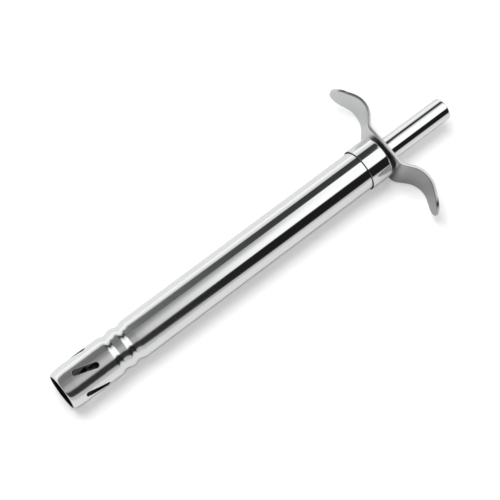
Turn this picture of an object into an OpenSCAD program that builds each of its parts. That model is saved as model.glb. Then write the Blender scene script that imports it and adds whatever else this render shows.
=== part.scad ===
// Piezo gas lighter: a slotted steel tube with a push rod, a finger plate and a spark unit inside.
// Millimetres. The tool lies along X with its nozzle at -X, its push rod at +X and its
// finger plate across Y. Inside the modules z runs along the tube from the nozzle's mouth.

/* [Tube] */
// Outside diameter of the tube
tube_od = 19; // [16:0.5:24]
// Wall of the tube
tube_wall = 0.6; // [0.4:0.1:1]
// Length of the tube from mouth to rear end
tube_len = 174.7; // [140:0.1:220]
// How far the mouth curls inwards, on the radius
mouth_curl = 1.4; // [0.6:0.1:2]
// Length over which the mouth curls
mouth_curl_len = 6; // [3:0.5:9]

/* [Rolled grooves] */
// Distance from the mouth to the first groove
groove_z = 27.9; // [24:0.1:40]
// Distance between the two grooves
groove_pitch = 6.7; // [5:0.1:9]
// Depth of each groove
groove_depth = 0.8; // [0.4:0.1:1.1]
// Half length of each groove's wave
groove_half = 3.3; // [2:0.1:4]

/* [Flame slots] */
// Number of slots round the nozzle
slot_count = 5; // [3:1:6]
// Length of a slot
slot_len = 12; // [6:0.5:16]
// Width of a slot
slot_w = 2.7; // [1.5:0.1:3.5]
// Slant of a slot from the tube's axis, in degrees
slot_slant = 18; // [0:1:30]
// Distance from the mouth to the middle of a slot
slot_z = 12.5; // [10:0.1:16]

/* [Rear end] */
// Length of the end collar
collar_len = 11.4; // [8:0.1:20]
// Wall of the end collar
collar_wall = 0.8; // [0.3:0.1:1]
// How far the tube's end is turned down, on the radius, to seat the end collar
collar_seat = 0.2; // [0.2:0.05:0.3]
// Thickness of the end collar's floor
collar_floor = 0.8; // [0.5:0.1:1.5]
// Radius of the end collar's rear edge
collar_edge = 1; // [0.6:0.1:1.4]
// Wall of the guide bush's neck
bush_wall = 1.6; // [1:0.1:2.5]
// Thickness of the guide bush's flange
bush_flange = 2; // [1.5:0.1:4]
// Thickness of the spacer washer between collar and finger plate
spacer_t = 1.2; // [0.8:0.1:3]
// How far the spacer washer stands out round the neck
spacer_margin = 1.1; // [0.5:0.1:1.4]
// Thickness of the rivet lip that holds the finger plate
lip_t = 0.6; // [0.3:0.1:1.2]

/* [Finger plate] */
// Thickness of the finger plate
plate_t = 1.5; // [1:0.1:2.5]
// Width of the finger plate at its middle
plate_w_mid = 21.9; // [18:0.1:28]
// Width of the finger plate where its round tips begin
plate_w_tip = 13.7; // [8:0.1:18]
// Half length of the flat middle of the finger plate
plate_flat = 9.2; // [7:0.1:14]
// Radius of the bend at the root of each wing, on the front face
root_bend_r = 5.4; // [4:0.1:9]
// Angle of the bend at the root of each wing
root_bend_angle = 42; // [20:1:60]
// Length of the straight after the root bend
wing_straight = 3.8; // [0.5:0.1:6]
// Radius of the finger curve, on the front face
finger_r = 10.8; // [9:0.1:18]
// Angle of the finger curve
finger_angle = 69; // [50:1:90]
// Length of the straight at the wing's tip
tip_straight = 10.7; // [8:0.1:14]

/* [Push rod] */
// Diameter of the push rod
rod_d = 10.8; // [9:0.1:13]
// Wall of the drawn push rod
rod_wall = 0.6; // [0.4:0.1:1]
// How far the push rod stands out behind the finger plate
rod_out = 36.5; // [30:0.1:50]
// Radius of the push rod's rear edge
rod_edge = 1; // [0.5:0.1:2]
// Thickness of the push rod's stop flange
rod_flange = 2; // [1.5:0.1:3]
// Travel of the push rod
press_travel = 12; // [6:0.5:14]

/* [Spark unit] */
// Wall of the igniter barrel round the hammer
barrel_wall = 3.3; // [2.8:0.1:3.6]
// Wall between the piezo bore and the hammer bore, on the radius
barrel_shoulder = 1.9; // [1:0.1:2]
// Length of the hammer
hammer_len = 16; // [14:0.5:24]
// Travel of the hammer
strike_travel = 9; // [5:0.5:10]
// Diameter of the hammer's cross pin
pin_d = 2; // [1.5:0.1:2.6]
// Length of each piezo element
piezo_len = 6.4; // [4:0.2:9]
// Thickness of the anvil's head
anvil_head = 2.8; // [2.4:0.1:5]
// Length of the anvil's stem
anvil_stem = 5; // [3:0.5:8]
// Length of the hammer spring at rest
hammer_spring_len = 20; // [19:0.5:26]
// Wire diameter of the hammer spring
hammer_wire = 0.8; // [0.5:0.05:0.9]
// Turns of the hammer spring
hammer_turns = 7; // [4:1:8]
// Length of the return spring at rest
return_spring_len = 20; // [19:0.5:26]
// Wire diameter of the return spring
return_wire = 1; // [0.6:0.05:1.1]
// Turns of the return spring
return_turns = 6; // [4:1:7]
// Length of the hammer's boss and of the plunger's nose, which centre the hammer spring
boss_len = 3; // [1:0.5:3.4]

/* [Spark gap] */
// Diameter of the spark electrode
electrode_d = 1.8; // [1.2:0.1:2.4]
// Distance from the mouth to the electrode's tip
electrode_z = 10; // [6:0.5:13]
// Length of the insulator's nose
nose_len = 7; // [3:0.5:9]
// Diameter of the insulator's nose
nose_d = 6.4; // [5:0.2:9]
// Diameter of the high voltage lead's core
core_d = 1.6; // [1:0.1:2]
// Wall of the lead's sleeve
sleeve_wall = 1.5; // [0.6:0.1:2]
// Wall of the spacer tube between the insulator and the barrel
liner_wall = 2; // [1:0.1:3]

/* [Fits] */
// Radial clearance of running fits: rod in bush, hammer in barrel
run_fit = 0.06; // [0.02:0.01:0.1]
// Radial clearance of seated parts
seat_fit = 0.05; // [0.01:0.01:0.1]
// Radial clearance of parts that pass each other without touching
free_fit = 0.3; // [0.2:0.05:0.4]
// Gap between faces that stop each other
face_gap = 0.05; // [0.02:0.01:0.2]

/* [Hidden] */
$fn = 96;
coil_sides = 8;
coil_steps = 18;
curve_steps = 10;

tube_r = tube_od / 2;
tube_ir = tube_r - tube_wall;
groove_z2 = groove_z + groove_pitch;
seat_r = tube_r - collar_seat;
collar_r = seat_r + seat_fit + collar_wall;
axis_h = max(collar_r, plate_w_mid / 2);

// Places along the axis, from the rear end towards the mouth
rod_r = rod_d / 2;
neck_r = rod_r + run_fit + bush_wall;
collar_back = tube_len + collar_floor;
seam = collar_back - collar_len;
seat_front = seam - face_gap;
plate_front = collar_back + spacer_t;
plate_back = plate_front + plate_t;
rod_end = plate_back + rod_out;
lip_back = plate_back + lip_t;
bush_front = tube_len - bush_flange;
buffer_t = 1;
rod_front = bush_front - buffer_t - rod_flange;
plunger_flange = 2;
plunger_front = rod_front - plunger_flange;
barrel_back = plunger_front - return_spring_len;
barrel_overhang = hammer_spring_len - boss_len - 1.3;
hammer_back = barrel_back - barrel_overhang;
hammer_front = hammer_back - hammer_len;
pin_z = hammer_front + hammer_len / 2;
stem_front = hammer_back + hammer_spring_len;
anvil_back = hammer_front - strike_travel - face_gap;
shoulder_z = anvil_back - anvil_head;
anvil_front = shoulder_z - anvil_stem;
disc_t = 0.4;
contact_len = 3;
piezo2_front = anvil_front - piezo_len;
piezo1_front = piezo2_front - disc_t - piezo_len;
contact_front = piezo1_front - contact_len;
barrel_floor = 4;
barrel_front = contact_front - barrel_floor;

// Radii of the spark unit
barrel_r = tube_ir - seat_fit;
hammer_bore = barrel_r - barrel_wall;
piezo_bore = hammer_bore - barrel_shoulder;
hammer_r = hammer_bore - run_fit;
piezo_r = piezo_bore - seat_fit;
stem_r = hammer_bore - free_fit;
boss_r = hammer_bore * 0.5;
hammer_coil_r = (boss_r + hammer_bore) / 2;
prong_t = 0.7;
prong_w = 3;
prong_r = tube_ir - free_fit;
channel_r = prong_r - prong_t - free_fit / 2;
pin_reach = channel_r - 0.2;
return_coil_r = (stem_r + prong_r - prong_t) / 2;
latch_wire = 0.9;
latch_r = channel_r - free_fit - latch_wire / 2;
latch_z = pin_z - pin_d / 2 - latch_wire / 2 - face_gap;
slot_clear = 0.15;
prong_front = pin_z - pin_d / 2 + press_travel;

// Places of the insulator and the lead
plug_front = groove_z - groove_half - 3.6;
plug_back = groove_z2 + groove_half + 2.6;
electrode_back = plug_back - 4;
sleeve_front = electrode_back + 1;
core_r = core_d / 2;
sleeve_r = core_r + sleeve_wall;

// Depth of one rolled groove at distance d from its middle
function groove(d) = abs(d) < groove_half ? groove_depth * (1 + cos(180 * d / groove_half)) / 2 : 0;

// Outside radius of the tube at z
function tube_radius(z) = tube_r - groove(z - groove_z) - groove(z - groove_z2)
    - (z < mouth_curl_len ? mouth_curl * (1 - sqrt(1 - pow(1 - z / mouth_curl_len, 2))) : 0);

// Places along the tube at which its curves are drawn
curl_z = [for (i = [0:curve_steps]) mouth_curl_len * (1 - cos(90 * i / curve_steps))];
wave_z = [for (i = [0:3 * curve_steps])
    groove_z - groove_half + (groove_pitch + 2 * groove_half) * i / (3 * curve_steps)];
tube_z = concat(curl_z, wave_z);

// Points of an arc about [x, y] from angle a to angle b
function arc(x, y, r, a, b, n) = [for (i = [0:n]) let (t = a + (b - a) * i / n)
    [x + r * cos(t), y + r * sin(t)]];

// Places everything drawn along z on the table, pointing along X
module laid() {
    translate([-rod_end / 2, 0, axis_h]) rotate([0, 90, 0]) children();
}

// A round bar or ring between two radii and two places
module ring(outer, inner, from, to) {
    translate([0, 0, from]) difference() {
        cylinder(r = outer, h = to - from);
        if (inner > 0) translate([0, 0, -1]) cylinder(r = inner, h = to - from + 2);
    }
}

// A round bar between two places
module bar(r, from, to) {
    translate([0, 0, from]) cylinder(r = r, h = to - from);
}

// A bar across the axis at z, from -reach to reach along Y
module cross_bar(r, z, reach) {
    translate([0, 0, z]) rotate([90, 0, 0]) cylinder(r = r, h = 2 * reach, center = true);
}

// A cutter for one slot: a round-ended bar that points outwards along X
module slot_cutter(length, width, depth) {
    straight = (length - width) / 2;
    for (s = [-1, 1]) translate([0, 0, s * straight])
        rotate([0, 90, 0]) cylinder(d = width, h = depth, $fn = 48);
    translate([0, -width / 2, -straight]) cube([depth, width, 2 * straight]);
}

// A closed coil spring swept as rings of points along a helix
module coil(r, wire, turns, from, to) {
    rise = (to - from - wire) / turns;
    count = turns * coil_steps;
    points = [for (i = [0:count]) let (a = 360 * i / coil_steps, z = from + wire / 2 + rise * i / coil_steps)
        for (k = [0:coil_sides - 1]) let (b = 360 * k / coil_sides, q = r + wire / 2 * cos(b))
            [q * cos(a), q * sin(a), z + wire / 2 * sin(b)]];
    sides = [for (i = [0:count - 1]) for (k = [0:coil_sides - 1])
        let (n = (k + 1) % coil_sides, j = i * coil_sides)
            each [[j + k, j + coil_sides + k, j + coil_sides + n], [j + k, j + coil_sides + n, j + n]]];
    first = [for (k = [0:coil_sides - 1]) k];
    last = [for (k = [coil_sides - 1:-1:0]) count * coil_sides + k];
    polyhedron(points, concat([first], sides, [last]), convexity = 10);
}

module body_tube() {
    outside = [for (z = tube_z) [tube_radius(z), z]];
    inside = [for (i = [len(tube_z) - 1:-1:0]) [tube_radius(tube_z[i]) - tube_wall, tube_z[i]]];
    seat = [[tube_r, seat_front], [seat_r, seat_front], [seat_r, tube_len], [tube_ir, tube_len]];
    color("silver") laid() difference() {
        rotate_extrude() polygon(concat(outside, seat, inside));
        for (i = [0:slot_count - 1]) rotate([0, 0, 180 + 360 * i / slot_count])
            translate([0, 0, slot_z]) rotate([-slot_slant, 0, 0])
                slot_cutter(slot_len, slot_w, tube_od);
    }
}

module end_collar() {
    color("silver") laid() difference() {
        rotate_extrude() polygon(concat([[0, seam], [collar_r, seam]],
            arc(collar_r - collar_edge, collar_back - collar_edge, collar_edge, 0, 90, curve_steps),
            [[0, collar_back]]));
        bar(seat_r + seat_fit, seam - 1, tube_len);
        bar(neck_r + seat_fit, tube_len - 1, collar_back + 1);
    }
}

// The front face of one wing: across Y and back along z, as [y, z, direction] at each step
function wing_root(t) = [plate_flat + root_bend_r * sin(t), root_bend_r * (1 - cos(t)), t];
function wing_turn() = wing_root(root_bend_angle) + wing_straight
    * [cos(root_bend_angle), sin(root_bend_angle), 0];
function wing_finger(t) = let (a = root_bend_angle, p = wing_turn())
    [p[0] + finger_r * (sin(a) - sin(a - t)), p[1] + finger_r * (cos(a - t) - cos(a)), a - t];
function wing_end() = let (p = wing_finger(finger_angle))
    [p[0] + tip_straight * cos(p[2]), p[1] + tip_straight * sin(p[2]), p[2]];
wing_path = concat([[0, 0, 0]],
    [for (i = [0:curve_steps]) wing_root(root_bend_angle * i / curve_steps)],
    [for (i = [0:2 * curve_steps]) wing_finger(finger_angle * i / (2 * curve_steps))],
    [wing_end()]);
plate_reach = wing_end()[0];

module finger_plate() {
    front = [for (p = wing_path) [-p[1], p[0]]];
    back = [for (i = [len(wing_path) - 1:-1:0]) let (p = wing_path[i])
        [-p[1] - plate_t * cos(p[2]), p[0] - plate_t * sin(p[2])]];
    tip_round = plate_w_tip / 2;
    shoulder_y = plate_reach - tip_round;
    taper = [for (i = [0:curve_steps]) let (u = i / curve_steps)
        [plate_w_mid / 2 - (plate_w_mid - plate_w_tip) / 2 * pow(u, 1.6), shoulder_y * u]];
    tip = [for (i = [1:curve_steps]) let (a = 90 * i / curve_steps)
        [plate_w_tip / 2 * cos(a), shoulder_y + tip_round * sin(a)]];
    side = concat(taper, tip);
    quarter_back = [for (i = [len(side) - 2:-1:0]) [-side[i][0], side[i][1]]];
    color("gainsboro") laid() difference() {
        translate([0, 0, plate_front]) intersection() {
            union() for (s = [0, 1]) mirror([0, s, 0])
                rotate([0, 90, 0]) linear_extrude(height = plate_w_mid + 2, center = true)
                    polygon(concat(front, back));
            union() for (s = [0, 1]) mirror([0, s, 0])
                translate([0, 0, -plate_reach]) linear_extrude(height = 2 * plate_reach)
                    polygon(concat(side, quarter_back));
        }
        bar(neck_r + seat_fit, plate_front - 1, plate_back + 1);
    }
}

module spacer_washer() {
    color("dimgray") laid() ring(neck_r + spacer_margin, neck_r + seat_fit, collar_back, plate_front);
}

module guide_bush() {
    lip = neck_r + bush_wall / 2;
    color("darkgray") laid() difference() {
        union() {
            bar(tube_ir - seat_fit, bush_front, tube_len);
            bar(neck_r, tube_len, lip_back);
            bar(lip, plate_back, lip_back);
        }
        bar(rod_r + run_fit, bush_front - 1, lip_back + 1);
    }
}

module buffer_washer() {
    color("black") laid() ring(tube_ir - free_fit, rod_r + free_fit, bush_front - buffer_t, bush_front);
}

// Radius of the insulator inside the rolled grooves at z
function plug_radius(z) = tube_radius(z) - tube_wall - free_fit / 2;

module insulator_plug() {
    inner_z = concat([plug_front], wave_z, [plug_back]);
    color("saddlebrown") laid() difference() {
        union() {
            rotate_extrude() polygon(concat([[0, plug_front]],
                [for (z = inner_z) [plug_radius(z), z]], [[0, plug_back]]));
            bar(nose_d / 2, plug_front - nose_len, plug_front);
        }
        bar(electrode_d / 2 + seat_fit, plug_front - nose_len - 1, electrode_back);
        bar(sleeve_r + seat_fit, electrode_back, plug_back + 1);
    }
}

module spark_electrode() {
    color("silver") laid() bar(electrode_d / 2, electrode_z, electrode_back);
}

module lead_core() {
    color("peru") laid() bar(core_r, electrode_back, contact_front + contact_len / 2);
}

module lead_sleeve() {
    color("firebrick") laid() ring(sleeve_r, core_r + seat_fit, sleeve_front, barrel_front);
}

module liner_tube() {
    color("whitesmoke") laid() ring(barrel_r, barrel_r - liner_wall, plug_back, barrel_front);
}

module igniter_barrel() {
    travel = strike_travel + pin_d + 2 * slot_clear;
    slot_mid = pin_z - strike_travel / 2;
    color("darkslategray") laid() difference() {
        bar(barrel_r, barrel_front, barrel_back);
        bar(core_r + seat_fit, barrel_front - 1, contact_front + 1);
        bar(piezo_bore, contact_front, shoulder_z + 1);
        bar(hammer_bore, shoulder_z, barrel_back + 1);
        for (s = [0, 1]) mirror([0, s, 0]) rotate([0, 0, 90]) translate([0, 0, slot_mid])
            slot_cutter(travel, pin_d + 2 * slot_clear, tube_od);
        ring(tube_od, latch_r - latch_wire / 2 - slot_clear, latch_z - latch_wire, latch_z + latch_wire);
        intersection() {
            ring(tube_od, channel_r, latch_z - latch_wire, barrel_back + 1);
            translate([-prong_w / 2 - slot_clear, -tube_od, 0])
                cube([prong_w + 2 * slot_clear, 2 * tube_od, tube_len]);
        }
        translate([0, 0, shoulder_z + anvil_head / 2]) rotate([0, 90, 0])
            cylinder(r = ground_r + seat_fit, h = tube_od);
    }
}

module front_contact() {
    color("gold") laid() difference() {
        bar(piezo_r, contact_front, piezo1_front);
        bar(core_r + seat_fit, contact_front - 1, contact_front + contact_len / 2);
    }
}

module piezo_front() {
    color("tan") laid() bar(piezo_r, piezo1_front, piezo1_front + piezo_len);
}

module piezo_disc() {
    color("gold") laid() bar(piezo_r, piezo1_front + piezo_len, piezo2_front);
}

module piezo_rear() {
    color("tan") laid() bar(piezo_r, piezo2_front, anvil_front);
}

anvil_r = hammer_bore - free_fit;
ground_r = 0.7;

module anvil() {
    color("gray") laid() {
        bar(piezo_r, anvil_front, shoulder_z);
        bar(anvil_r, shoulder_z, anvil_back);
    }
}

module ground_pin() {
    color("gold") laid() intersection() {
        translate([anvil_r + seat_fit, 0, shoulder_z + anvil_head / 2]) rotate([0, 90, 0])
            cylinder(r = ground_r, h = tube_od);
        bar(barrel_r, shoulder_z, anvil_back);
    }
}

module latch_spring() {
    open = 2.4;
    color("steelblue") laid() difference() {
        translate([0, 0, latch_z]) rotate_extrude() translate([latch_r, 0]) circle(d = latch_wire, $fn = 24);
        translate([0, -open, latch_z - latch_wire]) cube([tube_od, 2 * open, 2 * latch_wire]);
    }
}

module return_spring() {
    color("steelblue") laid() coil(return_coil_r, return_wire, return_turns, barrel_back, plunger_front);
}

module push_rod() {
    inner = rod_r - rod_wall;
    color("silver") laid() difference() {
        rotate_extrude() polygon(concat([[0, rod_front], [tube_ir - free_fit, rod_front],
            [tube_ir - free_fit, rod_front + rod_flange], [rod_r, rod_front + rod_flange]],
            arc(rod_r - rod_edge, rod_end - rod_edge, rod_edge, 0, 90, curve_steps),
            [[0, rod_end]]));
        bar(inner, rod_front - 1, rod_end - rod_wall);
        cross_bar(rod_pin_r + seat_fit, rod_front + rod_flange / 2, tube_od);
    }
}

rod_pin_r = 0.6;
plunger_tail = 22;

module plunger() {
    tail_r = rod_r - rod_wall - seat_fit;
    color("darkorange") laid() difference() {
        union() {
            bar(boss_r, stem_front - boss_len, stem_front);
            bar(stem_r, stem_front, plunger_front);
            bar(tube_ir - free_fit, plunger_front, rod_front);
            bar(tail_r, rod_front, rod_front + plunger_tail);
            intersection() {
                ring(prong_r, prong_r - prong_t, prong_front, plunger_front);
                translate([-prong_w / 2, -tube_od, 0]) cube([prong_w, 2 * tube_od, tube_len]);
            }
        }
        cross_bar(rod_pin_r + seat_fit, rod_front + rod_flange / 2, tube_od);
    }
}

module rod_pin() {
    color("gray") laid() cross_bar(rod_pin_r, rod_front + rod_flange / 2, tube_ir - 2 * free_fit);
}

module hammer() {
    color("slategray") laid() difference() {
        union() {
            bar(hammer_r, hammer_front, hammer_back);
            bar(boss_r, hammer_back, hammer_back + boss_len);
        }
        cross_bar(pin_d / 2 + seat_fit, pin_z, tube_od);
    }
}

module cross_pin() {
    color("silver") laid() cross_bar(pin_d / 2, pin_z, pin_reach);
}

module hammer_spring() {
    color("steelblue") laid() coil(hammer_coil_r, hammer_wire, hammer_turns, hammer_back, stem_front);
}

body_tube();
end_collar();
finger_plate();
spacer_washer();
guide_bush();
buffer_washer();
insulator_plug();
spark_electrode();
lead_core();
lead_sleeve();
liner_tube();
igniter_barrel();
front_contact();
piezo_front();
piezo_disc();
piezo_rear();
anvil();
ground_pin();
latch_spring();
return_spring();
push_rod();
plunger();
rod_pin();
hammer();
cross_pin();
hammer_spring();
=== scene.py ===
import math

import bmesh
import bpy
import numpy as np
from mathutils import Matrix, Vector


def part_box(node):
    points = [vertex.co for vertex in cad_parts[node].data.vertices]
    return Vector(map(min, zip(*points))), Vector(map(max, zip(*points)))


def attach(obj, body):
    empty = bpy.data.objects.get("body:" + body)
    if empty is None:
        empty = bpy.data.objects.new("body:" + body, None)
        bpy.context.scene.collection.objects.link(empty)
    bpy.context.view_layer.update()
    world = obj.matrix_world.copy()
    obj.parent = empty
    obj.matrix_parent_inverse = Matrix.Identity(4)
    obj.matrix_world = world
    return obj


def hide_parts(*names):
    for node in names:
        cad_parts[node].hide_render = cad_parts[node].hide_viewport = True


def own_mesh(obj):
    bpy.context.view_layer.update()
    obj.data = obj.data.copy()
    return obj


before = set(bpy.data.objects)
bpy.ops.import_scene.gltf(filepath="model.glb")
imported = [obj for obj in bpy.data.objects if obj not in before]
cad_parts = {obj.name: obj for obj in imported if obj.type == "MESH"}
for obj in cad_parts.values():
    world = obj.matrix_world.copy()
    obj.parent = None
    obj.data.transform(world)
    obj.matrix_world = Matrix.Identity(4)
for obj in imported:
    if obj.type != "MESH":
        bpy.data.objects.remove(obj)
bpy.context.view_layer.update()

# ---------------------------------------------------------------------------
# Table top and studio: a white sweep under the lighter, and a surround of
# white with two long black cards, which polished steel needs to show its form.
# ---------------------------------------------------------------------------


class Shade:
    """One output socket of a shader node. Arithmetic on it adds Math nodes."""

    def __init__(self, tree, socket=None):
        self.tree = tree
        self.socket = socket

    def add(self, kind, settings=None, inputs=None, out=0):
        """A new node: its settings are set first, then its sockets are given values or links."""
        node = self.tree.nodes.new(kind)
        for name, value in (settings or {}).items():
            setattr(node, name, value)
        for name, value in (inputs or {}).items():
            if isinstance(value, Shade):
                self.tree.links.new(value.socket, node.inputs[name])
            else:
                node.inputs[name].default_value = value
        return Shade(self.tree, node.outputs[out] if node.outputs else None)

    def math(self, operation, *others):
        return self.add("ShaderNodeMath", {"operation": operation}, dict(enumerate((self,) + others)))

    def __add__(self, other):
        return self.math("ADD", other)

    def __sub__(self, other):
        return self.math("SUBTRACT", other)

    def __mul__(self, other):
        return self.math("MULTIPLY", other)

    def __rsub__(self, other):
        return self.add("ShaderNodeMath", {"operation": "SUBTRACT"}, {0: other, 1: self})

    __radd__ = __add__
    __rmul__ = __mul__

    def toward(self, other, share):
        """This value where share is 0 and the other where it is 1."""
        return self + (other - self) * share

    def step(self, low, high):
        """0 below low and 1 above high, with a smooth rise between."""
        settings = {"interpolation_type": "SMOOTHSTEP"}
        return self.add("ShaderNodeMapRange", settings, {0: self, 1: low, 2: high})

    def edge(self, place, softness):
        """0 below place and 1 above it, with a smooth rise as far on each side as softness says."""
        return self.step(place - softness, place + softness)

    def xyz(self):
        """The three numbers of this vector."""
        node = self.add("ShaderNodeSeparateXYZ", inputs={0: self}).socket.node
        return [Shade(self.tree, socket) for socket in node.outputs]


def coordinate(tree, kind):
    """One output of a Texture Coordinate node."""
    return Shade(tree, tree.nodes.new("ShaderNodeTexCoord").outputs[kind])


def camera_ray(tree):
    """1 for rays straight from the camera, and 0 for the rest."""
    return Shade(tree, tree.nodes.new("ShaderNodeLightPath").outputs["Is Camera Ray"])


# The surround is a function of the angle in degrees round the lighter's length: 0 is level on
# the +Y side, 90 is overhead and 180 is level on the -Y side. The far card stands on the +Y
# side and the near card on the -Y side.
FAR_CARD = (33, 70)
NEAR_CARD = (125, 174)
CARD_EDGE = 3.0
SKY_TONE = 1.12
FAR_CARD_TONE = 0.045
NEAR_CARD_TONE = 0.012
BELOW_CARD_TONE = 0.54
# Low on the +Y side the white is a little grey.
LOW_HAZE = 0.35
# Towards the rear, as the direction's x rises past these, the far card's top edge comes down.
REAR_NARROWING = (0.366, 0.38)
FAR_CARD_REAR_TOP = 57
# Towards the nozzle the tones fade to these, the far card's lower edge drops and the near
# card's lower edge rises.
FRONT_FADE = (0.12, 0.31)
FAR_FRONT_TONE = 0.19
NEAR_FRONT_TONE = 0.03
ABOVE_FRONT_TONE = 0.46
FAR_CARD_DROP = 7
NEAR_CARD_RISE = 14
# A grey veil overhead, beside the far card. It fades out towards the rear.
VEIL = (72, 106)
VEIL_FADE = (0.26, 0.34)
VEIL_DEPTH = 0.55

world = bpy.data.worlds.new("surround")
bpy.context.scene.world = world
world.use_nodes = True
tree = world.node_tree
tree.nodes.clear()
along, across, height = coordinate(tree, "Generated").xyz()
turn = height.math("ARCTAN2", across) * math.degrees(1)
front = 1 - along.step(*FRONT_FADE)
far_top = turn + along.step(*REAR_NARROWING) * (FAR_CARD[1] - FAR_CARD_REAR_TOP)
overhead = turn.edge(FAR_CARD[1], CARD_EDGE)
far_card = (turn + front * FAR_CARD_DROP).edge(FAR_CARD[0], CARD_EDGE) * (
    1 - far_top.edge(FAR_CARD[1], CARD_EDGE))
near_card = turn.edge(NEAR_CARD[0], CARD_EDGE)
below_card = (turn + front * NEAR_CARD_RISE).edge(NEAR_CARD[1], CARD_EDGE)
haze_low = turn.step(0, FAR_CARD[0]) * (1 - overhead) * LOW_HAZE
veil = (1 - turn.step(*VEIL)) * (1 - along.step(*VEIL_FADE)) * overhead * VEIL_DEPTH
above = (SKY_TONE - overhead * front * (SKY_TONE - ABOVE_FRONT_TONE)) * (1 - veil) * (1 - haze_low)
far_tone = FAR_CARD_TONE + front * (FAR_FRONT_TONE - FAR_CARD_TONE)
near_tone = NEAR_CARD_TONE + front * (NEAR_FRONT_TONE - NEAR_CARD_TONE)
tone = above.toward(far_tone, far_card).toward(near_tone, near_card).toward(BELOW_CARD_TONE, below_card)
seen = camera_ray(tree)
strength = tone * (1 - seen) + seen
light = seen.add("ShaderNodeBackground", inputs={"Color": (1, 1, 1, 1), "Strength": strength})
seen.add("ShaderNodeOutputWorld", inputs={"Surface": light})

FLOOR_SIZE = 6.0
FLOOR_ALBEDO = 0.58
# The floor's own glow lifts the shadow near the lighter, and away from it makes the floor white.
FLOOR_GLOW = 0.38
FAR_FLOOR = (0.16, 0.60)
# Close under the tube, and under the slots, the floor has painted shade: its colour is darkened
# and its glow is off. After each patch's middle, the pairs say how far from it, along and across,
# the shade is full and where it is gone.
PAINTED_SHADE_ALBEDO = 0.08
TUBE_MIDDLE = (-0.021, 0.0015)
TUBE_SPAN = (0.080, 0.088)
UNDER_SHADE = (0.0020, 0.0094)
SLOT_PATCH = (-0.0915, 0.0008)
SLOT_PATCH_LENGTH = (0.0065, 0.0090)
SLOT_PATCH_WIDTH = (0.0067, 0.0078)

bpy.ops.mesh.primitive_plane_add(size=FLOOR_SIZE)
floor = bpy.context.object
floor.name = "floor"
paper = bpy.data.materials.new("white_sweep")
paper.use_nodes = True
tree = paper.node_tree
tree.nodes.clear()
floor_x, floor_y, _ = coordinate(tree, "Object").xyz()


def outside(middle, length, width):
    """0 on the patch of floor round middle and 1 away from it."""
    past_end = (floor_x - middle[0]).math("ABSOLUTE").step(*length)
    past_side = (floor_y - middle[1]).math("ABSOLUTE").step(*width)
    return past_side.math("MAXIMUM", past_end)


# Painted shade: on these patches the floor's colour is darkened and its glow is taken away.
clear = outside(TUBE_MIDDLE, TUBE_SPAN, UNDER_SHADE).math(
    "MINIMUM", outside(SLOT_PATCH, SLOT_PATCH_LENGTH, SLOT_PATCH_WIDTH))
colour = clear.add("ShaderNodeMix", {"data_type": "RGBA"},
                   {0: clear, 6: (PAINTED_SHADE_ALBEDO,) * 3 + (1,), 7: (FLOOR_ALBEDO,) * 3 + (1,)}, out=2)
white = clear.add("ShaderNodeBsdfDiffuse", inputs={"Color": colour})
aside = floor_y - TUBE_MIDDLE[1]
far = (floor_x * floor_x + aside * aside).math("SQRT").step(*FAR_FLOOR)
lit = camera_ray(tree) * clear * (far * (1 - FLOOR_GLOW) + FLOOR_GLOW)
glow = clear.add("ShaderNodeEmission", inputs={"Strength": lit})
both = clear.add("ShaderNodeAddShader", inputs={0: white, 1: glow})
clear.add("ShaderNodeOutputMaterial", inputs={"Surface": both})
floor.data.materials.append(paper)

# A square softbox makes the shadow. It isn't mirrored in the steel.
SOFTBOX_PLACE = (-0.11, 0.35, 0.97)
SOFTBOX_SIZE = 0.60
SOFTBOX_POWER = 12.5

lamp = bpy.data.lights.new("softbox", "AREA")
lamp.size = SOFTBOX_SIZE
lamp.energy = SOFTBOX_POWER
softbox = bpy.data.objects.new("softbox", lamp)
bpy.context.scene.collection.objects.link(softbox)
softbox.location = SOFTBOX_PLACE
softbox.rotation_euler = (-Vector(SOFTBOX_PLACE)).to_track_quat("-Z", "Y").to_euler()
softbox.visible_glossy = False

# ---------------------------------------------------------------------------
# Camera: a long lens above the nozzle's end, turned so that the tube runs
# from the lower left to the upper right.
# ---------------------------------------------------------------------------
CAMERA_AIM = (-0.0054, 0.0007)
CAMERA_DISTANCE = 0.6577
CAMERA_RISE = 70.55
CAMERA_TURN = -142.94
CAMERA_ROLL = 14.6
CAMERA_LENS = 109.03
SENSOR_WIDTH = 36

collar_low, collar_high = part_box("end_collar")
axis_height = (collar_low.z + collar_high.z) / 2
rise, heading = math.radians(CAMERA_RISE), math.radians(CAMERA_TURN)
toward = Vector((math.cos(rise) * math.cos(heading), math.cos(rise) * math.sin(heading), math.sin(rise)))
aim = Vector(CAMERA_AIM + (axis_height,))
lens = bpy.data.cameras.new("camera")
lens.lens = CAMERA_LENS
lens.sensor_width = SENSOR_WIDTH
camera = bpy.data.objects.new("camera", lens)
bpy.context.scene.collection.objects.link(camera)
level = (-toward).to_track_quat("-Z", "Y").to_matrix()
camera.matrix_world = Matrix.Translation(aim + toward * CAMERA_DISTANCE) @ (
    level @ Matrix.Rotation(math.radians(CAMERA_ROLL), 3, "Z")).to_4x4()
bpy.context.scene.camera = camera
bpy.context.scene.view_settings.view_transform = "Standard"

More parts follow.
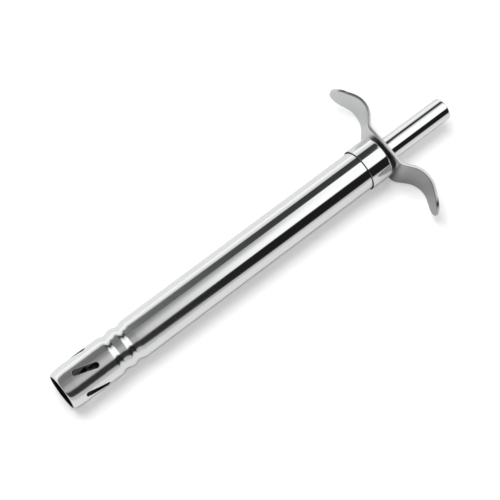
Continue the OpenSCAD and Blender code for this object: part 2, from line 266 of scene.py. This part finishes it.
# ---------------------------------------------------------------------------
# Body tube: thin stainless tube, drawn and polished. Its mouth is curled in,
# five slanted slots are pressed through it, and two grooves are rolled into it.
# ---------------------------------------------------------------------------
MM = 0.001
TUBE_WALL = 0.6 * MM
MOUTH_CURL = 1.4 * MM
MOUTH_CURL_LENGTH = 6.0 * MM
GROOVES = (27.9 * MM, 34.6 * MM)
GROOVE_DEPTH = 0.8 * MM
GROOVE_HALF = 3.3 * MM
SLOT_COUNT = 5
SLOT_LENGTH = 12.0 * MM
SLOT_WIDTH = 2.7 * MM
SLOT_MIDDLE = 12.5 * MM
SLOT_SLANT = math.radians(18)
SLOT_MARGIN = 0.5 * MM
EDGE = 0.12 * MM
SEAT_STEP = 0.2 * MM
SEAT_GAP = 0.05 * MM
SEAT_RISE = 0.01 * MM
SECTOR_STEPS = 44
SECTOR_ROWS = 40
PIERCE_RINGS = 12
RING_SPREAD = 0.8

tube_low, tube_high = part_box("body_tube")
mouth_x = tube_low.x
tube_radius = (tube_high.z - tube_low.z) / 2
tube_length = tube_high.x - tube_low.x


def rounded(corners, radii, steps=6, hold=0.3):
    """The outline through corners, each turned into an arc of its radius. A point a little way
    along each side keeps the side's own shading straight up to the arc."""
    corners = np.asarray(corners, float)
    out = [corners[:1]]
    for before, here, after, radius in zip(corners, corners[1:], corners[2:], radii):
        a = (before - here) / np.linalg.norm(before - here)
        b = (after - here) / np.linalg.norm(after - here)
        half = math.acos(np.clip(a @ b, -1, 1)) / 2
        reach = radius / math.tan(half)
        centre = here + (a + b) / np.linalg.norm(a + b) * radius / math.sin(half)
        start, end = here + a * reach - centre, here + b * reach - centre
        sweep = math.pi - 2 * half
        t = np.linspace(0, 1, steps + 1)[:, None]
        arc = centre + (np.sin((1 - t) * sweep) * start + np.sin(t * sweep) * end) / math.sin(sweep)
        out += [[here + a * reach * (1 + hold)], arc, [here + b * reach * (1 + hold)]]
    out.append(corners[-1:])
    return np.concatenate(out)


def turned(outline, around, start=0.0):
    """An outline of (x, radius) points turned round the axis, as a grid of points:
    y = radius cos(angle), z = axis height + radius sin(angle)."""
    outline = np.asarray(outline, float)
    angle = start + np.linspace(0, 2 * math.pi, around + 1)
    x = np.repeat(outline[:, :1], around + 1, axis=1)
    y = outline[:, 1:] * np.cos(angle)
    z = axis_height + outline[:, 1:] * np.sin(angle)
    return np.stack([x, y, z], axis=-1)


def solid(name, grids, finish, body, slot, *stands_for):
    """One closed piece from grids of points whose borders meet. Doubles are merged, faces that
    shrink to a pole become triangles, and all faces are turned outwards."""
    vertices, faces, first = [], [], 0
    for grid in grids:
        rows, columns = grid.shape[:2]
        index = first + np.arange(rows * columns).reshape(rows, columns)
        quads = np.stack([index[:-1, :-1], index[:-1, 1:], index[1:, 1:], index[1:, :-1]], axis=-1)
        vertices.append(grid.reshape(-1, 3))
        faces.append(quads.reshape(-1, 4))
        first += rows * columns
    mesh = bpy.data.meshes.new(name)
    mesh.from_pydata(np.concatenate(vertices).tolist(), [], np.concatenate(faces).tolist())
    shell = bmesh.new()
    shell.from_mesh(mesh)
    bmesh.ops.remove_doubles(shell, verts=shell.verts, dist=2e-6)
    bmesh.ops.recalc_face_normals(shell, faces=shell.faces)
    shell.to_mesh(mesh)
    shell.free()
    mesh.polygons.foreach_set("use_smooth", np.ones(len(mesh.polygons), bool))
    mesh.materials.append(finish)
    piece = bpy.data.objects.new(name, mesh)
    bpy.context.scene.collection.objects.link(piece)
    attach(piece, body)
    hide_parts(*stands_for)
    return piece


def pierced(border, rim, outward, wall, edge, rings):
    """A wall with a hole, as rings of (u, v, depth) that run from the border over the face to the
    hole's rounded edge, through the wall and back over the other face."""
    share = np.linspace(0, 1, rings + 1)[:-1, None, None] ** RING_SPREAD
    face = border + (rim + outward * edge * 1.5 - border) * share
    angle = np.linspace(0, math.pi / 2, 4)
    inset = edge * (1 - np.sin(angle))
    depth = edge * (1 - np.cos(angle))
    corner = rim + outward * inset[:, None, None]
    front = np.concatenate([face, corner])
    deep = np.concatenate([np.zeros(rings), depth])
    flat = np.concatenate([front, front[::-1]])
    deep = np.concatenate([deep, wall - deep[::-1]])
    return np.concatenate([flat, np.broadcast_to(deep[:, None, None], flat.shape[:2] + (1,))], axis=-1)


def tube_profile(x):
    """Outside radius of the tube at distance x from the mouth: a quarter ellipse at the mouth,
    and one cosine wave for each rolled groove."""
    curl = np.clip(1 - x / MOUTH_CURL_LENGTH, 0, 1)
    radius = tube_radius - MOUTH_CURL * (1 - np.sqrt(1 - curl ** 2))
    for middle in GROOVES:
        wave = np.clip(np.abs(x - middle) / GROOVE_HALF, 0, 1)
        radius = radius - GROOVE_DEPTH * (1 + np.cos(math.pi * wave)) / 2
    return radius


def tube_skin(x):
    """The wall's outline along x: out along the outside, with a step where the end collar sits,
    round the lip (half an ellipse) and back along the inside."""
    seated = mouth_x + x > collar_low.x - SEAT_GAP
    outer, inner = tube_profile(x) - SEAT_STEP * seated, tube_profile(x) - TUBE_WALL
    half = (outer[-1] - inner[-1]) / 2
    ends = x.copy()
    ends[-1] -= np.sign(x[-1] - x[0]) * half / 2
    angle = np.linspace(0, math.pi, 9)[1:-1]
    lip = np.stack([ends[-1] + (x[-1] - ends[-1]) * np.sin(angle), inner[-1] + half * (1 + np.cos(angle))],
                   axis=1)
    outside, inside = np.stack([ends, outer], axis=1), np.stack([ends, inner], axis=1)
    return np.concatenate([outside, lip, inside[::-1]]) + [mouth_x, 0]


def slot_sector(middle):
    """The stretch of wall round one slot. u runs along the tube and v round it; the slot is a
    round-ended bar, and each border point looks along a straight line at its middle."""
    side = math.pi * tube_radius / SLOT_COUNT
    end = SLOT_LENGTH / 2 + SLOT_MARGIN
    v = np.linspace(-side, side, SECTOR_STEPS + 1)
    u = np.linspace(-end, end, SECTOR_ROWS + 1)
    border = np.concatenate([
        np.stack([np.full_like(v, -end), v], axis=1)[:-1],
        np.stack([u, np.full_like(u, side)], axis=1)[:-1],
        np.stack([np.full_like(v, end), -v], axis=1)[:-1],
        np.stack([-u, np.full_like(u, -side)], axis=1)])
    turn = np.arctan2(border[:, 1], border[:, 0]) - SLOT_SLANT
    radius = SLOT_WIDTH / 2
    straight = SLOT_LENGTH / 2 - radius
    along, beside = np.abs(np.cos(turn)), np.abs(np.sin(turn))
    to_side = radius / np.maximum(beside, 1e-9)
    to_end = straight * along + np.sqrt(np.maximum(radius ** 2 - (straight * beside) ** 2, 0))
    far = np.where(to_side * along <= straight, to_side, to_end)
    flat = np.stack([far * np.cos(turn), far * np.sin(turn)], axis=1)
    centre = np.stack([np.clip(flat[:, 0], -straight, straight), np.zeros(len(flat))], axis=1)
    out = (flat - centre) / radius
    c, s = math.cos(SLOT_SLANT), math.sin(SLOT_SLANT)
    lay = np.array([[c, s], [-s, c]])
    rings = pierced(border, flat @ lay, out @ lay, TUBE_WALL, EDGE, PIERCE_RINGS)
    angle = middle + rings[..., 1] / tube_radius
    reach = tube_radius - rings[..., 2]
    x = mouth_x + SLOT_MIDDLE + rings[..., 0]
    return np.stack([x, reach * np.cos(angle), axis_height + reach * np.sin(angle)], axis=-1)


def new_finish(name):
    """A new material, its shader and the place on the piece that its patterns read."""
    finish = bpy.data.materials.new(name)
    finish.use_nodes = True
    shader = finish.node_tree.nodes["Principled BSDF"]
    return finish, shader, coordinate(finish.node_tree, "Object")


def set_colour(shader, colour, tint):
    """The colour times a tint that varies over the piece."""
    product = tint.add("ShaderNodeMix", {"data_type": "RGBA", "blend_type": "MULTIPLY"},
                       {0: 1.0, 6: colour + (1,), 7: tint}, out=2)
    tint.tree.links.new(product.socket, shader.inputs["Base Color"])


DRAWN_LINES = (30, 900, 900)
SOFT_SMUDGES = (25, 60, 60)
SHARPEST_MIRROR = 0.015
CLEAN_TINT = 0.97
SMUDGE_TINT = 0.06
# Faces that don't face away from the axis, or that face forwards, can get painted shade: their colour is
# darkened by the depth below, and they are made rougher.
SHADE_INWARD_LEAN = (1.0 * MM, 2.4 * MM)
SHADE_FRONT_FACING = (-1.0, -0.5)
SHADED_FACE_ROUGHNESS = 0.5
PAINTED_SHADE_DEPTH = 0.93
HAZY_NOZZLE = (-60 * MM, 0.0)
# Painted shade: front faces on the -Y side are darkened between these y, for faces that point forwards this
# much.
SIDE_SHADE_RANGE = (-16 * MM, -7 * MM)
SIDE_SHADE_FACING = (-0.6, -0.3)


def steel(name, colour, rough, haze=0.03, lines=0.0, shaded_faces=None, hazy_nozzle=0.0, side_shade=0.0):
    """Bare metal, by default clean all over. Long soft smudges (haze) and fine lines along the
    work vary how sharp its mirror is. The faces that the argument after lines picks get more
    roughness and painted shade, a darkened colour: one choice is those that don't face away from
    the axis, and "front" those that face forwards. hazy_nozzle adds roughness towards the
    nozzle, and the last argument paints shade on front faces on the -Y side by darkening them."""
    finish, shader, place = new_finish(name)
    tree = place.tree
    shader.inputs["Metallic"].default_value = 1.0
    drawn = place.add("ShaderNodeMapping", inputs={"Vector": place, "Scale": DRAWN_LINES})
    soft = place.add("ShaderNodeMapping", inputs={"Vector": place, "Scale": SOFT_SMUDGES})
    streak = place.add("ShaderNodeTexNoise", inputs={"Vector": drawn, "Scale": 1.0, "Detail": 3.0})
    cloud = place.add("ShaderNodeTexNoise", inputs={"Vector": soft, "Scale": 1.0, "Detail": 2.0})
    rough_here = (rough + (streak - 0.5) * lines + (cloud - 0.5) * haze).math("MAXIMUM", SHARPEST_MIRROR)
    tint = CLEAN_TINT + (cloud - 0.5) * SMUDGE_TINT
    normal_x, normal_y, normal_z = coordinate(tree, "Normal").xyz()
    x, y, z = place.xyz()
    # Painted shade: the picked faces get a darkened colour and more roughness.
    if shaded_faces == "inward":
        shade_mask = 1 - (normal_y * y + normal_z * (z - axis_height)).step(*SHADE_INWARD_LEAN)
    elif shaded_faces == "front":
        shade_mask = 1 - normal_x.step(*SHADE_FRONT_FACING)
    if shaded_faces:
        rough_here = rough_here + shade_mask * SHADED_FACE_ROUGHNESS
        tint = tint * (1 - shade_mask * PAINTED_SHADE_DEPTH)
    # Painted shade: front faces on the -Y side get a darker colour.
    if side_shade:
        facing_front = 1 - normal_x.step(*SIDE_SHADE_FACING)
        tint = tint * (1 - (1 - y.step(*SIDE_SHADE_RANGE)) * facing_front * side_shade)
    if hazy_nozzle:
        rough_here = rough_here + (1 - x.step(*HAZY_NOZZLE)) * hazy_nozzle
    tree.links.new(rough_here.socket, shader.inputs["Roughness"])
    set_colour(shader, colour, tint)
    return finish


def groove_places():
    """Distances from the mouth at which the skin behind the slots is drawn: close together over
    the rolled grooves, and then one long plain stretch to the rear end."""
    first = SLOT_MIDDLE + SLOT_LENGTH / 2 + SLOT_MARGIN
    waves = np.linspace(GROOVES[0] - GROOVE_HALF, GROOVES[1] + GROOVE_HALF, 73)
    seat = collar_low.x - SEAT_GAP - mouth_x
    plain = np.append(np.linspace(waves[-1], seat - 2 * EDGE, 24)[1:], seat - EDGE)
    under = np.linspace(seat + SEAT_RISE, tube_length, 4)
    return np.concatenate([np.linspace(first, waves[0], 5)[:-1], waves, plain, under])


# Inside the tube and on the slot walls the colour is darkened: painted shade.
tube_steel = steel("polished_tube_steel", (0.90, 0.905, 0.91), 0.06, haze=0.03, lines=0.03,
                   shaded_faces="inward", hazy_nozzle=0.09)
slot_angles = math.pi / 2 + 2 * math.pi * np.arange(SLOT_COUNT) / SLOT_COUNT
seam_angle = math.pi / 2 - math.pi / SLOT_COUNT
around = SLOT_COUNT * SECTOR_STEPS
front_end = SLOT_MIDDLE - SLOT_LENGTH / 2 - SLOT_MARGIN
curl_places = np.append(front_end, MOUTH_CURL_LENGTH * (1 - np.sin(np.linspace(0, math.pi / 2, 21))))
solid("tube_shell",
      [slot_sector(angle) for angle in slot_angles]
      + [turned(tube_skin(curl_places), around, seam_angle),
         turned(tube_skin(groove_places()), around, seam_angle)],
      tube_steel, "housing", "tube_steel", "body_tube")

# ---------------------------------------------------------------------------
# End collar: a deep-drawn steel cup pressed over the tube's rear end. Its open
# edge makes the fine seam line, and its floor has the hole for the bush's neck.
# ---------------------------------------------------------------------------
COLLAR_WALL = 0.8 * MM
COLLAR_EDGE = 1.0 * MM
SEAM_EDGE = 0.14 * MM
INNER_EDGE = 0.1 * MM
ROD_DIAMETER = 10.8 * MM
BUSH_WALL = 1.6 * MM
RUN_FIT = 0.06 * MM
SEAT_FIT = 0.05 * MM

collar_radius = (collar_high.z - collar_low.z) / 2
collar_bore = collar_radius - COLLAR_WALL
rod_radius = ROD_DIAMETER / 2
bush_bore = rod_radius + RUN_FIT
neck_radius = bush_bore + BUSH_WALL


def ringed(corners, radii, steps=6):
    """A closed outline through corners, each rounded to its radius."""
    corners = np.asarray(corners, float)
    start = (corners[-1:] + corners[:1]) / 2
    return rounded(np.concatenate([start, corners, start]), radii, steps)


# The collar's forward faces are darkened in colour: painted shade that makes the dark seam line.
collar_steel = steel("polished_collar_steel", (0.90, 0.905, 0.91), 0.05, haze=0.02, lines=0.02,
                     shaded_faces="front")
collar_outline = ringed(
    [(collar_low.x, collar_bore), (collar_low.x, collar_radius), (collar_high.x, collar_radius),
     (collar_high.x, neck_radius + SEAT_FIT), (tube_high.x, neck_radius + SEAT_FIT),
     (tube_high.x, collar_bore)],
    (SEAM_EDGE, SEAM_EDGE, COLLAR_EDGE, INNER_EDGE, INNER_EDGE, INNER_EDGE), steps=8)
solid("collar_cup", [turned(collar_outline, 192)], collar_steel, "housing", "collar_steel", "end_collar")

# ---------------------------------------------------------------------------
# Finger plate: one strip of sheet steel, wide in the middle and round at its
# tips, punched for the bush and bent into two wings. Its edges are rumbled.
# ---------------------------------------------------------------------------
PLATE_THICKNESS = 1.5 * MM
PLATE_TIP_WIDTH = 13.7 * MM
PLATE_FLAT = 9.2 * MM
ROOT_BEND_RADIUS = 5.4 * MM
ROOT_BEND = math.radians(42)
WING_STRAIGHT = 3.8 * MM
FINGER_RADIUS = 10.8 * MM
FINGER_CURVE = math.radians(69)
PLATE_EDGE = 0.32 * MM
PLATE_TAPER = 1.6
# At the leaning tips the strip's back face stands further out than its front face, by this
# share of its thickness times the lean.
TIP_SETBACK = 0.85
HOLE_MARGIN = 8.9 * MM
LIP_THICKNESS = 0.6 * MM
LONGEST_WING = 60 * MM
LINE_STEPS = 6000
BODY_SHARE = 0.72
OUTLINE_STEPS = 160
WIDTH_STEPS = 24

plate_low, plate_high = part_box("finger_plate")
plate_half = (plate_high.z - plate_low.z) / 2
plate_reach = plate_high.y - PLATE_THICKNESS * math.sin(FINGER_CURVE - ROOT_BEND) * TIP_SETBACK
bush_low, bush_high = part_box("guide_bush")
plate_front = bush_high.x - LIP_THICKNESS - PLATE_THICKNESS


def wing_line(s):
    """The front face's line at distance s along it, as its y, how far back it is and its
    direction. The direction is the sum of two ramps, and the line is its running integral."""
    fine = np.linspace(0, LONGEST_WING, LINE_STEPS + 1)
    bend_end = PLATE_FLAT + ROOT_BEND_RADIUS * ROOT_BEND
    curve_start = bend_end + WING_STRAIGHT
    curve_end = curve_start + FINGER_RADIUS * FINGER_CURVE
    heading = np.interp(fine, [PLATE_FLAT, bend_end], [0, ROOT_BEND])
    heading = heading - np.interp(fine, [curve_start, curve_end], [0, FINGER_CURVE])
    step = fine[1]
    y = np.concatenate([[0], np.cumsum((np.cos(heading[1:]) + np.cos(heading[:-1])) / 2 * step)])
    back = np.concatenate([[0], np.cumsum((np.sin(heading[1:]) + np.sin(heading[:-1])) / 2 * step)])
    return np.interp(s, fine, y), np.interp(s, fine, back), np.interp(s, fine, heading), fine, y


def plate_point(s, h, depth):
    """A point of the strip at distance s from its middle, height h and depth from its front face."""
    y, back, heading, _, _ = wing_line(np.abs(s))
    x = plate_front + back + depth * np.cos(heading)
    return np.stack([x, np.sign(s) * (y - depth * np.sin(heading)), axis_height + h], axis=-1)


def plate_outline():
    """The upper half of the strip's outline as (s, h), from tip to tip: a power curve narrows it,
    and a quarter circle ends it."""
    _, _, _, fine, line_y = wing_line(np.zeros(1))
    tip = PLATE_TIP_WIDTH / 2
    shoulder = plate_reach - tip
    turn = np.linspace(0, 1, OUTLINE_STEPS // 2 + 1)
    body = np.clip(turn / BODY_SHARE, 0, 1)
    cap = np.clip((turn - BODY_SHARE) / (1 - BODY_SHARE), 0, 1) * math.pi / 2
    y = np.where(turn <= BODY_SHARE, shoulder * body, shoulder + tip * np.sin(cap))
    taper = plate_half - (plate_half - tip) * body ** PLATE_TAPER
    half = np.where(turn <= BODY_SHARE, taper, tip * np.cos(cap))
    s = np.interp(y, line_y, fine)
    return np.concatenate([np.stack([-s[::-1], half[::-1]], axis=1), np.stack([s, half], axis=1)[1:]])


def plate_grids():
    """The strip's two faces, its rounded edge all round, and its hole for the bush's neck."""
    top = plate_outline()
    loop = np.concatenate([top, (top * [1, -1])[-2:0:-1]])
    ahead, behind = np.roll(loop, -1, axis=0), np.roll(loop, 1, axis=0)
    tangent = ahead - behind
    outward = np.stack([-tangent[:, 1], tangent[:, 0]], axis=1)
    outward /= np.linalg.norm(outward, axis=1)[:, None]
    angle = np.linspace(0, math.pi / 2, 6)
    inset = np.concatenate([[PLATE_EDGE * 1.6], PLATE_EDGE * (1 - np.sin(angle))])
    depth = np.concatenate([[0], PLATE_EDGE * (1 - np.cos(angle))])
    inset = np.concatenate([inset, inset[::-1]])
    depth = np.concatenate([depth, PLATE_THICKNESS - depth[::-1]])
    rings = loop - outward * inset[:, None, None]
    rings = np.concatenate([rings, rings[:, :1]], axis=1)
    edge = plate_point(rings[..., 0], rings[..., 1], depth[:, None])
    inner = rings[0, :len(top)]
    middle = np.flatnonzero(np.abs(inner[:, 0]) <= HOLE_MARGIN)
    first, last = middle[0], middle[-1]
    lie = np.linspace(1, -1, WIDTH_STEPS + 1)
    grids = [edge]
    for depth_here in (0, PLATE_THICKNESS):
        for part in (inner[:first + 1], inner[last:]):
            s = np.repeat(part[:, :1], WIDTH_STEPS + 1, axis=1)
            grids.append(plate_point(s, part[:, 1:] * lie, depth_here))
    top_side = inner[first:last + 1]
    right = np.stack([np.full(WIDTH_STEPS + 1, inner[last, 0]), inner[last, 1] * lie], axis=1)
    left = np.stack([np.full(WIDTH_STEPS + 1, inner[first, 0]), -inner[first, 1] * lie], axis=1)
    border = np.concatenate([top_side[:-1], right[:-1], (top_side * [1, -1])[::-1][:-1], left])
    turn = np.arctan2(border[:, 1], border[:, 0])
    circle = np.stack([np.cos(turn), np.sin(turn)], axis=1)
    hole = pierced(border, circle * (neck_radius + SEAT_FIT), circle, PLATE_THICKNESS, 0.15 * MM, 6)
    grids.append(plate_point(hole[..., 0], hole[..., 1], hole[..., 2]))
    return grids


# The wing on the -Y side has painted shade on its front face.
plate_steel = steel("satin_plate_steel", (0.70, 0.705, 0.71), 0.26, haze=0.04, lines=0.05, side_shade=0.45)
solid("finger_wings", plate_grids(), plate_steel, "housing", "plate_steel", "finger_plate")

# ---------------------------------------------------------------------------
# Guide bush and spacer: the turned bush passes through collar, spacer washer
# and finger plate, and its rear lip is riveted over to hold all three.
# ---------------------------------------------------------------------------
BUSH_FLANGE = 2.0 * MM
SPACER_MARGIN = 1.1 * MM

turned_steel = steel("turned_bush_steel", (0.62, 0.63, 0.65), 0.18, haze=0.05, lines=0.06)
# Painted shade: this near-black colour makes the spacer, in the gap between collar and finger plate, look
# like the shade there. The anvil and the hammer share the finish.
blued_steel_and_shade = steel("blued_steel_and_shade", (0.07, 0.07, 0.075), 0.40, haze=0.08, lines=0.10)
bush_radius = (bush_high.z - bush_low.z) / 2
bush_outline = ringed(
    [(bush_low.x, bush_bore), (bush_low.x, bush_radius),
     (bush_low.x + BUSH_FLANGE, bush_radius), (bush_low.x + BUSH_FLANGE, neck_radius),
     (bush_high.x - LIP_THICKNESS, neck_radius), (bush_high.x - LIP_THICKNESS, neck_radius + BUSH_WALL / 2),
     (bush_high.x, neck_radius + BUSH_WALL / 2), (bush_high.x, bush_bore)],
    np.array([0.2, 0.2, 0.2, 0.05, 0.05, 0.1, 0.25, 0.25]) * MM)
solid("bush", [turned(bush_outline, 128)], turned_steel, "housing", "turned_steel", "guide_bush")
spacer_outline = ringed(
    [(collar_high.x, neck_radius + SEAT_FIT), (collar_high.x, neck_radius + SPACER_MARGIN),
     (plate_front, neck_radius + SPACER_MARGIN), (plate_front, neck_radius + SEAT_FIT)],
    np.array([0.05, 0.1, 0.1, 0.05]) * MM, steps=3)
# The spacer's near-black colour is painted shade in the gap.
solid("spacer", [turned(spacer_outline, 96)], blued_steel_and_shade, "housing", "hard_steel", "spacer_washer")

# ---------------------------------------------------------------------------
# Push rod: a drawn tube with a closed, rounded end, polished to a mirror. Its
# flange inside the housing stops it on the way back.
# ---------------------------------------------------------------------------
ROD_WALL = 0.6 * MM
ROD_EDGE = 1.0 * MM
ROD_FLANGE = 2.0 * MM

rod_low, rod_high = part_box("push_rod")
rod_steel = steel("mirror_rod_steel", (0.92, 0.925, 0.93), 0.035, haze=0.015, lines=0.015)
flange_radius = (rod_high.z - rod_low.z) / 2
rod_outline = rounded(
    [(rod_high.x - ROD_WALL, 0), (rod_high.x - ROD_WALL, rod_radius - ROD_WALL),
     (rod_low.x, rod_radius - ROD_WALL), (rod_low.x, flange_radius),
     (rod_low.x + ROD_FLANGE, flange_radius), (rod_low.x + ROD_FLANGE, rod_radius),
     (rod_high.x, rod_radius), (rod_high.x, 0)],
    np.array([0.3, 0.1, 0.15, 0.15, 0.1, ROD_EDGE / MM]) * MM, steps=8)
solid("rod_shell", [turned(rod_outline, 160)], rod_steel, "button", "rod_steel", "push_rod")

# ---------------------------------------------------------------------------
# Spark gap: a glazed ceramic plug, gripped by the two rolled grooves, with a
# nose round the steel electrode.
# ---------------------------------------------------------------------------
NOSE_RADIUS = 3.2 * MM
NOSE_LENGTH = 7.0 * MM
PLUG_CLEARANCE = 0.15 * MM
ELECTRODE_RADIUS = 0.9 * MM
SLEEVE_RADIUS = 2.3 * MM
SLEEVE_DEPTH = 4.0 * MM


def moulded(name, colour, rough, spots=0.04, relief=0.00001, size=900, coat=0.0):
    """Moulded or fired stuff: one colour with faint mottling and a fine uneven surface."""
    finish, shader, place = new_finish(name)
    tree = place.tree
    shader.inputs["Coat Weight"].default_value = coat
    mottle = place.add("ShaderNodeTexNoise", inputs={"Vector": place, "Scale": size / 4, "Detail": 2.0})
    pebble = place.add("ShaderNodeTexNoise", inputs={"Vector": place, "Scale": size, "Detail": 3.0})
    set_colour(shader, colour, 1 - spots / 2 + (mottle - 0.5) * spots * 2)
    tree.links.new((rough + (pebble - 0.5) * 0.1).socket, shader.inputs["Roughness"])
    bump = place.add("ShaderNodeBump", inputs={"Strength": 0.4, "Distance": relief, "Height": pebble})
    tree.links.new(bump.socket, shader.inputs["Normal"])
    return finish


plug_low, plug_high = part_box("insulator_plug")
pin_low, pin_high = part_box("spark_electrode")
# Painted shade: the plug's colour is near black, so that the inside of the tube looks dark through the
# mouth and the slots.
ceramic = moulded("ceramic_darkened_as_shade", (0.05, 0.04, 0.035), 0.25, coat=0.6)
plug_front = plug_low.x + NOSE_LENGTH
plug_x = np.concatenate([
    [plug_front - mouth_x],
    np.linspace(GROOVES[0] - GROOVE_HALF, GROOVES[1] + GROOVE_HALF, 49),
    [plug_high.x - mouth_x]])
plug_side = np.stack([plug_x + mouth_x, tube_profile(plug_x) - TUBE_WALL - PLUG_CLEARANCE], axis=1)
plug_nose = rounded(
    [(pin_high.x, ELECTRODE_RADIUS + SEAT_FIT), (plug_low.x, ELECTRODE_RADIUS + SEAT_FIT),
     (plug_low.x, NOSE_RADIUS), (plug_front, NOSE_RADIUS), plug_side[0]],
    np.array([0.2, 0.6, 0.5]) * MM)
plug_back = np.array([
    (plug_high.x, SLEEVE_RADIUS + SEAT_FIT), (plug_high.x - SLEEVE_DEPTH, SLEEVE_RADIUS + SEAT_FIT),
    (pin_high.x, ELECTRODE_RADIUS + SEAT_FIT)])
plug_outline = np.concatenate([plug_nose, plug_side[1:], plug_back])
solid("insulator", [turned(plug_outline, 96)], ceramic, "housing", "insulator", "insulator_plug")
electrode_outline = rounded(
    [(pin_low.x, 0), (pin_low.x, ELECTRODE_RADIUS), (pin_high.x, ELECTRODE_RADIUS), (pin_high.x, 0)],
    np.array([0.3, 0.1]) * MM)
solid("electrode", [turned(electrode_outline, 48)], turned_steel, "housing", "turned_steel",
      "spark_electrode")

# ---------------------------------------------------------------------------
# Springs: closed coils of drawn wire. The return spring pushes the plunger
# back, and the hammer spring throws the hammer.
# ---------------------------------------------------------------------------
RETURN_WIRE = 1.0 * MM
RETURN_TURNS = 6
HAMMER_WIRE = 0.8 * MM
HAMMER_TURNS = 7
COIL_STEPS = 40

spring_steel = steel("drawn_spring_wire", (0.50, 0.51, 0.53), 0.25, haze=0.05, lines=0.05)


def coil(node, wire, turns):
    """A round wire carried along a helix that fills the node's box. Each ring of the wire's
    section lies in a plane through the axis, and a single point closes each end."""
    low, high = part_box(node)
    radius = (high.z - low.z) / 2 - wire / 2
    t = np.linspace(0, 1, turns * COIL_STEPS + 1)[:, None]
    angle = 2 * math.pi * turns * t
    x = low.x + wire / 2 + (high.x - low.x - wire) * t
    section = np.linspace(0, 2 * math.pi, 13)
    reach = radius + wire / 2 * np.cos(section)
    rings = np.stack([x + wire / 2 * np.sin(section), reach * np.cos(angle),
                      axis_height + reach * np.sin(angle)], axis=-1)
    ends = rings[[0, -1], :-1].mean(axis=1)[:, None, :].repeat(rings.shape[1], axis=1)
    return np.concatenate([ends[:1], rings, ends[1:]])


def spring(name, node, wire, turns, body):
    """A coil spring on a mesh of its own."""
    piece = solid(name, [coil(node, wire, turns)], spring_steel, body, "spring_steel", node)
    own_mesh(piece)


spring("return_coil", "return_spring", RETURN_WIRE, RETURN_TURNS, "housing")
spring("hammer_coil", "hammer_spring", HAMMER_WIRE, HAMMER_TURNS, "striker")

# ---------------------------------------------------------------------------
# Pieces inside the tube that keep their own shape: each gets the finish of
# what it is made from.
# ---------------------------------------------------------------------------
brass = steel("pressed_brass", (0.80, 0.62, 0.30), 0.24, haze=0.08, lines=0.04)
copper = steel("drawn_copper", (0.80, 0.48, 0.34), 0.22, haze=0.08, lines=0.06)
FINISHES = {
    "igniter_barrel": moulded("black_moulding", (0.05, 0.05, 0.055), 0.45),
    "liner_tube": moulded("natural_moulding", (0.80, 0.79, 0.75), 0.40),
    "plunger": moulded("orange_moulding", (0.75, 0.28, 0.05), 0.40),
    "lead_sleeve": moulded("silicone_sleeve", (0.40, 0.06, 0.04), 0.55),
    "buffer_washer": moulded("black_rubber", (0.02, 0.02, 0.02), 0.70, relief=0.00003),
    "piezo_front": moulded("piezo_ceramic", (0.55, 0.46, 0.35), 0.60),
    "front_contact": brass,
    "ground_pin": brass,
    "piezo_disc": brass,
    "lead_core": copper,
    "anvil": blued_steel_and_shade,
    "hammer": blued_steel_and_shade,
    "cross_pin": turned_steel,
    "rod_pin": turned_steel,
    "latch_spring": spring_steel,
}
FINISHES["piezo_rear"] = FINISHES["piezo_front"]
for node, finish in FINISHES.items():
    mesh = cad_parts[node].data
    mesh.materials.clear()
    mesh.materials.append(finish)
